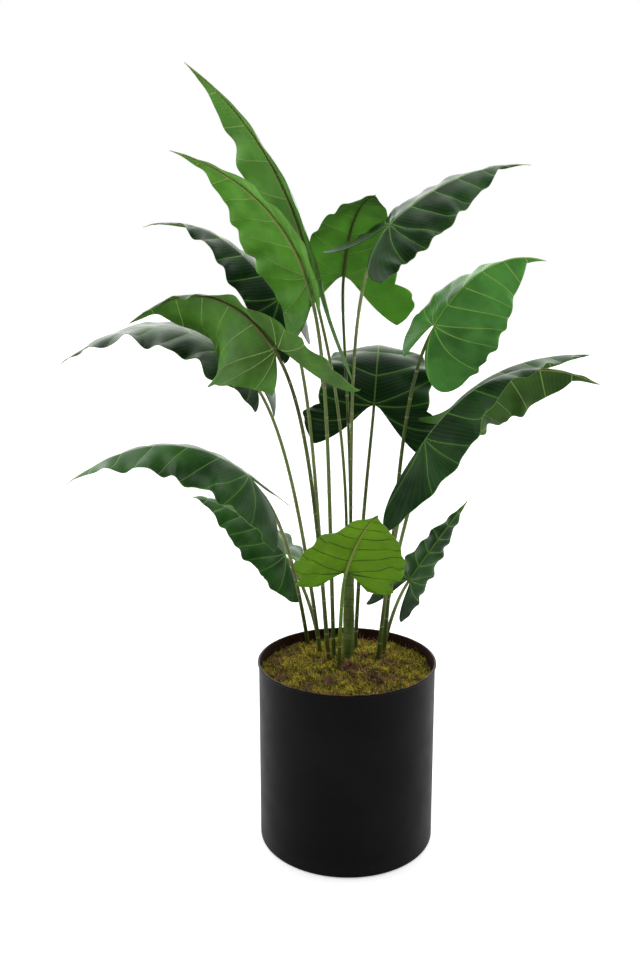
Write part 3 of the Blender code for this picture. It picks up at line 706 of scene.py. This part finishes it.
def trunk_finish(look):
    """The pseudostem: mossy green with dark scars round it where old leaves stood."""
    skin = Finish("pseudostem_skin", TRUNK_DARK)
    _, ring, _ = skin.parts("climb")
    skin.coat(skin.fade(skin.noise(45, 4, 0.35), 0.35, 0.7), TRUNK_PALE)
    skin.coat(skin.times(ring, 0.7), look.streak)
    skin.bump(skin.noise(120, 4, 0.3), 0.0008, 0.6)
    return skin.done(0.5, 0.2)


def moss_finish(look, name):
    """Moss: brown, olive, gold or green by the tone of its strand, dark in the gaps between its tufts."""
    skin = Finish(name, look.brown)
    mottle = skin.times(skin.minus(skin.noise(210), 0.5), 0.5)
    mottle = skin.math("ADD", skin.value("tone"), mottle)
    skin.coat(skin.fade(mottle, 0.05, 0.3), look.olive)
    skin.coat(skin.fade(mottle, 0.3, 0.6), look.gold)
    skin.coat(skin.fade(mottle, 0.75, 0.95), look.green)
    # Painted shade in the gaps between tufts, painted light on their tops
    skin.tint(skin.fade(skin.value("lit"), -1, 1, 0.2, 2.1))
    skin.bump(skin.noise(420, 4), 0.0012, 0.8)
    return skin.done(0.9, 0.2)


def planter_finish(look):
    """Black powder coat with a fine grain, rubbed reddish on the rim's edge and brown on the inner wall."""
    skin = Finish("planter_coat", look.paint)
    x, y, height = skin.split(skin.place)
    radius = skin.math("SQRT", skin.math("ADD", skin.times(x, x), skin.times(y, y)))
    skin.coat(skin.times(skin.fade(height, 0, 0.04, 0.4, 0), skin.noise(40, 4)), FOOT_DUST)
    skin.coat(skin.fade(skin.noise(9), 0.4, 0.7, 0, 0.3), DULL_PATCH)
    skin.coat(skin.fade(radius, 0.1507, 0.1512, 1, 0), look.inside)
    worn = skin.fade(skin.noise(60), 0.4, 0.55)
    skin.coat(skin.times(skin.fade(height, 0.3245, 0.3252, 0, 0.6), worn), look.edge)
    skin.bump(skin.noise(900, 2), 0.0002, 0.25)
    low, high = look.roughness - 0.04, look.roughness + 0.05
    roughness = skin.fade(skin.noise(25, 4), 0.3, 0.7, low, high)
    return skin.done(roughness, 0.09, Sheen_Weight=0.05, Sheen_Roughness=0.4)


def soil_finish():
    """Dark potting soil."""
    skin = Finish("soil_crumb", SOIL_DARK)
    crumb = skin.noise(150, 5)
    skin.coat(skin.fade(crumb, 0.35, 0.65), SOIL_PALE)
    skin.bump(crumb, 0.002, 0.8)
    return skin.done(0.95)


def floor_finish(look):
    """A matt pale floor with the faintest mottling, greyer for the light that it throws on the plant."""
    skin = Finish("pale_floor", [0.97 * c for c in look.floor])
    skin.coat(skin.fade(skin.noise(3, 2), 0.3, 0.7), look.floor)
    seen = skin.node("LightPath")["Is Camera Ray"]
    skin.base = skin.mix(seen, [0.8 * c for c in look.floor], skin.base)
    glow = skin.times(seen, look.glow)
    return skin.done(0.9, 0.1, Emission_Color=WHITE, Emission_Strength=glow)


# Pieces

class TARO_OT_blades(Operator):
    """Make the arrow-shaped blade of each leaf"""

    bl_idname = "taro.blades"
    bl_label = "Leaf blades"

    def execute(self, context):
        settings = context.scene.taro_blades
        materials = [upper_finish(settings), under_finish(settings)]
        for leaf in LEAVES:
            self.blade(leaf, settings, materials)
        return {"FINISHED"}

    def blade(self, leaf, settings, materials):
        halves = [half_blade(leaf, side, settings) for side in (-1, 1)]
        shape = halves[0][0].shape[:2]
        left = np.arange(shape[0] * shape[1]).reshape(shape)
        right = left + left.size
        right[settings.rows_behind:, 0] = left[settings.rows_behind:, 0]
        faces = np.concatenate([grid_faces(left, flip=True), grid_faces(right)])
        used, faces = np.unique(faces, return_inverse=True)
        points, where, place, dust = (
            np.concatenate(pair).reshape(2 * left.size, -1)[used] for pair in zip(*halves)
        )
        name = leaf.name + "_blade"
        made = piece(name + "_fine", points, [faces.reshape(-1, 4)], materials, name)
        upper, under = (tone + 0 * dust[:, 0] for tone in leaf.tone)
        # The painted grey sheen goes with the blade as a value for each vertex
        attach(made, venation=where, leaf_place=place, dust=dust[:, 0], upper_tone=upper, under_tone=under)
        solid = made.modifiers.new("Thickness", "SOLIDIFY")
        solid.thickness = settings.thickness
        solid.offset = 0
        solid.material_offset = 1


def socket_place(number):
    """Middle of one of the pseudostem's three sockets, on the ground plan."""
    angle = math.radians(180 - 120 * (number - 1))
    return TRUNK_FOOT[0] + SOCKET_RING * math.cos(angle), TRUNK_FOOT[1] + SOCKET_RING * math.sin(angle)


def stalk_route(leaf):
    """Points and radii of a stalk, the way across its blade, and the number of the point at its neck.

    It goes up from its root, over at the neck, and on as the rib under the blade. The rise is a cubic
    Bezier curve from the foot to the blade, as in the frame. The rib nears the blade within its first
    tenth and thins to the tip."""
    if isinstance(leaf.foot, int):
        foot, radius = np.array([*socket_place(leaf.foot), TRUNK_TOP_Z]), SOCKET_STALK_RADIUS
        way = np.array([0, 0, 1])
        root = foot * [1, 1, 0] + [0, 0, TRUNK_TOP_Z - SOCKET_DEPTH]
    else:
        foot, radius = np.array([*leaf.foot, MOSS_EDGE_Z + MOSS_CROWN]), STALK_FOOT_RADIUS
        lean = np.array(leaf.top) - foot
        way = unit([*(LEAN * lean[:2] / lean[2]), 1])
        root = foot - way * ((foot[2] - ROOT_Z) / way[2])
    along, across, up = midrib_frame(leaf, [0])
    sag = math.cos(math.radians(min(*leaf.fold, 0)))
    top = np.array(leaf.top) - up[0] * (NECK_ROOM / sag)
    reach = np.linalg.norm(top - foot)
    handles = [foot + way * RISE * reach, top - along[0] * BEND * reach]
    rise = bezier([foot, *handles, top], np.linspace(0, 1, 90))
    share = np.linspace(0, RIB_SHARE, 60)[1:]
    under, _ = midrib(leaf, share)
    _, _, above = midrib_frame(leaf, share)
    radii = STALK_NECK_RADIUS * (1 - share) ** 0.8 + RIB_TIP_RADIUS
    close = np.exp(-share / 0.06)
    rib = under - above * ((close * NECK_ROOM + (1 - close) * radii * 1.1) / sag)[:, None]
    points = np.concatenate([[root], rise, rib])
    radii = np.concatenate([[radius], np.linspace(radius, STALK_NECK_RADIUS, len(rise)), radii])
    return points, radii, across[0], len(rise)


def rings_at(at, rings, reach):
    """Share of a ring at heights: a bell curve round the nearest one."""
    return np.exp(-((np.abs(at[:, None] - rings).min(axis=1, initial=1) / reach) ** 2))


class TARO_OT_stalks(Operator):
    """Make each leaf's stalk, with its growth rings and the rib under the blade"""

    bl_idname = "taro.stalks"
    bl_label = "Leaf stalks"

    def execute(self, context):
        settings = context.scene.taro_stalks
        plain = stalk_finish(settings, "stalk_skin", 0)
        brown = stalk_finish(settings, "stalk_skin_brown", 0.75)
        for count, leaf in enumerate(LEAVES):
            self.stalk(leaf, count, settings, brown if leaf.name in BROWN_STALKS else plain)
        return {"FINISHED"}

    def stalk(self, leaf, count, settings, material):
        route, radii, across, rising = stalk_route(leaf)
        run = lengths_along(route)
        foot, neck = run[1], run[rising]
        first = foot + settings.node_step * (0.2 + 0.37 * count % 1)
        nodes = np.arange(first, neck, settings.node_step)
        nodes = nodes + settings.node_step * 0.22 * np.sin(2.4 * np.arange(len(nodes)) + count)
        near = (nodes[:, None] + np.array([-2.4, -1.2, -0.5, 0, 0.5, 1.2, 2.4]) * 0.001).ravel()
        at = np.unique(np.concatenate([[0], np.arange(foot, run[-1], settings.step), near, [run[-1]]]))
        ring = rings_at(at, nodes, RING_REACH)
        radius = np.interp(at, run, radii) + settings.node_height * ring
        shell = tube(points_at(at, run, route), radius, settings.sides, across)
        faces = tube_faces(len(at), settings.sides)
        name = leaf.name + "_stalk"
        made = piece(name + "_fine", shell, faces, [material], name)
        fresh = min(1, max(0, leaf.fresh[0] - 0.7))
        climb = np.stack([(at - foot) / (neck - foot), ring, 0 * ring + fresh], axis=1)
        attach(made, climb=np.repeat(climb, settings.sides, axis=0))


class TARO_OT_pseudostem(Operator):
    """Make the pseudostem, with its leaf scars and the sheath round its three stalks"""

    bl_idname = "taro.pseudostem"
    bl_label = "Pseudostem"

    def execute(self, context):
        settings = context.scene.taro_stalks
        scars = np.arange(0.325, TRUNK_TOP_Z - 0.02, SCAR_STEP)
        scars = scars + 0.004 * np.sin(2.1 * np.arange(len(scars)))
        height = np.unique(np.concatenate([
            np.linspace(ROOT_Z, TRUNK_TOP_Z, 60),
            (scars[:, None] + np.array([-1.5, -0.7, 0, 0.7, 1.5]) * 0.001).ravel(),
        ]))
        ring = rings_at(height, scars, SCAR_REACH)
        share = (height - ROOT_Z) / (TRUNK_TOP_Z - ROOT_Z)
        wide, narrow = TRUNK_RADII
        radius = wide - (wide - narrow) * share - SCAR_DEPTH * ring + 0.0003 * np.sin(150 * height)
        turn, cos, sin = circle(TRUNK_SIDES)
        lobed = 1 + 0.05 * np.cos(3 * turn - math.pi) * share[:, None]
        reach = radius[:, None] * lobed
        x, y = TRUNK_FOOT
        points = np.stack([x + reach * cos, y + reach * sin, height[:, None] + 0 * reach], axis=-1)
        faces = tube_faces(len(height), TRUNK_SIDES)
        made = piece("pseudostem_fine", points, faces, [trunk_finish(settings)], "pseudostem")
        climb = np.stack([share, ring, 0 * ring], axis=1)
        attach(made, climb=np.repeat(climb, TRUNK_SIDES, axis=0))
        return {"FINISHED"}


def moss_height(x, y):
    """Top of the moss: a low crown with cushions a few centimetres across."""
    share = np.hypot(x, y) / PLANTER_RADIUS
    crown = MOSS_CROWN * (1 - share**2)
    cushions = np.sin(61 * x + 2.1) * np.sin(57 * y + 0.7) + 0.6 * np.sin(113 * x - 71 * y)
    return MOSS_EDGE_Z + crown + MOSS_RELIEF * 0.5 * cushions


def moss_top(x, y):
    """Top of the moss with its tufts."""
    return moss_height(x, y) + MOSS_TUFT * moss_grain(x, y)


def moss_grain(x, y):
    """Small tufts of the moss, from a gap (-1) to the top of a tuft (1): crossed, bent waves."""
    return np.sin(520 * x + 2.4 * np.sin(310 * y)) * np.sin(490 * y + 2.4 * np.sin(290 * x))


def moss_tone(x, y):
    """Tone of the moss at a place, from brown (0) over gold (0.6) to green (1).

    Slow waves run over the bed, and a patch of bark lies before the pseudostem."""
    slow = np.sin(38 * x + 1.3 + 2 * np.sin(31 * y)) * np.sin(44 * y - 0.4 + 1.5 * np.sin(27 * x))
    quick = np.sin(96 * x - 51 * y + 0.8) * np.sin(83 * y + 67 * x)
    bark = np.exp(-((x - 0.005) ** 2 + 1.4 * (y + 0.025) ** 2) / 0.03**2)
    return 0.52 + 0.26 * slow + 0.2 * quick - 0.42 * bark


class TARO_OT_moss(Operator):
    """Make the bed of moss and the strands that stand on it"""

    bl_idname = "taro.moss"
    bl_label = "Moss"

    def execute(self, context):
        settings = context.scene.taro_moss
        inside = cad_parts["moss"].dimensions.x / 2
        self.bed(settings, inside)
        draw = np.random.default_rng(settings.seed)
        short, long = settings.shortest, settings.longest
        for name, many, lengths, tone_shift in (
            ("moss_gold", settings.strands, (short, long), 0.1),
            ("moss_dark", settings.strands, (short, long), -0.12),
            ("moss_litter", settings.litter, (long, 2.6 * long), -0.42),
        ):
            self.strands(name, draw, many, inside, lengths, tone_shift, settings)
        return {"FINISHED"}

    def bed(self, settings, inside):
        """A disc of rings, raised by cushions and tufts, with a flat underside."""
        _, cos, sin = circle(BED_SIDES)
        radius = inside * np.linspace(0, 1, BED_RINGS + 1)[1:, None]
        x, y = radius * cos, radius * sin
        under = MOSS_EDGE_Z - BED_DEPTH
        rings = np.stack([x, y, moss_top(x, y)], axis=-1)
        rings = np.concatenate([rings, rings[-1:] * [1, 1, 0] + [0, 0, under]])
        points, faces = capped(rings, [[0, 0, moss_height(0, 0)], [0, 0, under]])
        made = piece("moss_bed", points, faces, [moss_finish(settings, "moss_bed_skin")], "moss")
        x, y, _ = points.T
        # The bed is painted darker than the strands, as the shade under them
        attach(made, tone=moss_tone(x, y) - 0.12, lit=moss_grain(x, y) - 0.5)

    def strands(self, name, draw, many, inside, lengths, tone_shift, settings):
        """Curved strands of three sides, scattered evenly over the disc and leaning every way.

        A strand is a row of rings whose middle goes outwards as the power 1.5 of its length."""
        radius = (inside - 0.003) * np.sqrt(draw.random(many))
        turn = draw.random(many) * 2 * math.pi
        x, y = radius * np.cos(turn), radius * np.sin(turn)
        lean = draw.random(many)[:, None] * 2 * math.pi
        tilt = 0.3 + 1.1 * draw.random(many)[:, None]
        length = lengths[0] + (lengths[1] - lengths[0]) * draw.random(many)[:, None] ** 2
        tone = moss_tone(x, y) + tone_shift + draw.normal(0, 0.14, many)
        lit = moss_grain(x, y) + draw.normal(0, 0.45, many)
        share = np.array([0, 0.55, 1])
        width = STRAND_WIDTH * np.array([1, 0.8, 0.1])
        out = share**1.5 * (length * np.sin(tilt))
        up = share * (length * np.cos(tilt)) - 0.001
        foot = np.stack([x, y, moss_top(x, y)], axis=-1)
        middle = foot[:, None] + np.stack([out * np.cos(lean), out * np.sin(lean), up], axis=-1)
        _, cos, sin = circle(3)
        side_way = np.stack([-np.sin(lean), np.cos(lean), 0 * lean], axis=-1)
        ring = side_way * cos[:, None] + np.array([0, 0, 1]) * sin[:, None]
        points = middle[:, :, None] + ring[:, None] * width[:, None, None]
        edge = np.hypot(points[..., 0], points[..., 1])
        pull = np.minimum(1, (inside - 0.0005) / np.maximum(edge, 1e-6))
        points[..., :2] *= pull[..., None]
        first = 9 * np.arange(many)[:, None, None]
        faces = [(first + group).reshape(-1, group.shape[1]) for group in tube_faces(3, 3)]
        made = piece(name, points, faces, [moss_finish(settings, name + "_skin")], "moss")
        attach(made, tone=np.repeat(tone, 9), lit=np.repeat(lit, 9))


def turned(profile, steps):
    """Points and faces of a closed shape turned about the Z axis; the profile starts and ends on it."""
    radius, height = np.array(profile[1:-1], float).T[..., None]
    _, cos, sin = circle(steps)
    rings = np.stack([radius * cos, radius * sin, height + 0 * cos], axis=-1)
    return capped(rings, [[0, 0, profile[0][1]], [0, 0, profile[-1][1]]])


class TARO_OT_planter(Operator):
    """Make the black metal cylinder with its rolled lip"""

    bl_idname = "taro.planter"
    bl_label = "Planter"

    def execute(self, context):
        settings = context.scene.taro_planter
        _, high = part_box("planter")
        lip, top = high.x, high.z
        outer = lip - SHEET
        inside = outer - SHEET
        bead = np.linspace(0, math.pi, 9)
        foot = np.linspace(0, math.pi / 2, 6)
        rolled = [(outer - SHEET * math.cos(a), top - SHEET + SHEET * math.sin(a)) for a in bead]
        under_lip = [(lip, top - 0.0035), (lip - 0.0006, top - 0.0045), (outer, top - 0.005)]
        rounded = [(outer - ROUND + ROUND * math.cos(a), ROUND - ROUND * math.sin(a)) for a in foot]
        profile = [
            (0, ROUND), (inside - ROUND, ROUND), (inside, 2 * ROUND), (inside, 0.1), (inside, 0.2),
            (inside, top - 0.006), *rolled, *under_lip, (outer, top - 0.012), (outer, 0.22), (outer, 0.12),
            *rounded, (0, 0),
        ]
        points, faces = turned(profile, settings.steps)
        made = piece("planter_fine", points, faces, [planter_finish(settings)], "planter")
        made.data.set_sharp_from_angle(angle=math.radians(50))
        return {"FINISHED"}


class TARO_OT_soil(Operator):
    """Give the soil under the moss its finish"""

    bl_idname = "taro.soil"
    bl_label = "Soil"

    def execute(self, context):
        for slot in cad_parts["soil"].material_slots:
            slot.material = soil_finish()
        return {"FINISHED"}


class TARO_OT_stage(Operator):
    """Make the pale floor, the white surroundings, the soft lights and the camera"""

    bl_idname = "taro.stage"
    bl_label = "Stage"

    def execute(self, context):
        settings = context.scene.taro_stage
        self.floor(settings)
        self.surroundings(settings)
        for light in LIGHTS:
            self.light(*light)
        data = bpy.data.cameras.new("photo_camera")
        data.lens = settings.lens
        camera = put("photo_camera", data)
        camera.location = CAMERA_PLACE
        camera.rotation_euler.x = math.radians(CAMERA_TILT)
        context.scene.camera = camera
        context.scene.view_settings.view_transform = "Standard"
        return {"FINISHED"}

    def floor(self, settings):
        """A wide disc a little under the planter."""
        _, cos, sin = circle(FLOOR_SIDES)
        points = np.stack([FLOOR_RADIUS * cos, FLOOR_RADIUS * sin, 0 * cos + FLOOR_Z], axis=1)
        mesh = bpy.data.meshes.new("floor")
        mesh.from_pydata(points.tolist(), [], [list(range(FLOOR_SIDES))])
        mesh.materials.append(floor_finish(settings))
        floor = put("floor", mesh)

    def surroundings(self, settings):
        """White for the camera; for the light, dimmer on the side that the camera stands on."""
        world = bpy.data.worlds.new("white_room")
        bpy.context.scene.world = world
        world.use_nodes = True
        world.node_tree.nodes.clear()
        nodes = Nodes(world.node_tree)
        _, y, _ = nodes.split(nodes.node("TexCoord")["Generated"])
        back = nodes.fade(y, -0.9, 0.8, kind="LINEAR")
        parts = {0: nodes.times(back, back), 1: 2.7 * settings.sky, 2: 0.32 * settings.sky}
        strength = nodes.node("Math", parts, operation="MULTIPLY_ADD")[0]
        room = nodes.node("Background", {"Color": WHITE, "Strength": strength})[0]
        seen = nodes.node("Background", {"Color": WHITE})[0]
        camera = nodes.node("LightPath")["Is Camera Ray"]
        nodes.node("OutputWorld", {0: nodes.node("MixShader", {0: camera, 1: room, 2: seen})[0]})

    def light(self, name, place, target, size, power):
        """A round soft light that the camera doesn't see."""
        data = bpy.data.lights.new(name, "AREA")
        data.shape = "DISK"
        data.size = size
        data.energy = power
        lamp = put(name, data)
        lamp.location = place
        lamp.rotation_euler = (Vector(target) - Vector(place)).to_track_quat("-Z", "Y").to_euler()
        lamp.visible_camera = False


class TARO_PT_panel(Panel):
    """Lists the steps that make the plant"""

    bl_idname = "TARO_PT_panel"
    bl_label = "Giant taro"
    bl_space_type = "VIEW_3D"
    bl_region_type = "UI"
    bl_category = "Giant taro"

    def draw(self, context):
        for step in STEPS:
            self.layout.operator(step.bl_idname)


SETTINGS = {
    "taro_blades": BladeSettings,
    "taro_stalks": StalkSettings,
    "taro_moss": MossSettings,
    "taro_planter": PlanterSettings,
    "taro_stage": StageSettings,
}
STEPS = (
    TARO_OT_stage,
    TARO_OT_planter,
    TARO_OT_soil,
    TARO_OT_moss,
    TARO_OT_pseudostem,
    TARO_OT_stalks,
    TARO_OT_blades,
)
CLASSES = (*SETTINGS.values(), *STEPS, TARO_PT_panel)


def register():
    for made in CLASSES:
        bpy.utils.register_class(made)
    for name, group in SETTINGS.items():
        setattr(Scene, name, PointerProperty(type=group))


def unregister():
    for name in SETTINGS:
        delattr(Scene, name)
    for made in reversed(CLASSES):
        bpy.utils.unregister_class(made)


def main():
    register()
    bpy.ops.taro.stage()
    bpy.ops.taro.planter()
    bpy.ops.taro.soil()
    bpy.ops.taro.moss()
    bpy.ops.taro.pseudostem()
    bpy.ops.taro.stalks()
    bpy.ops.taro.blades()


if __name__ == "__main__":
    main()
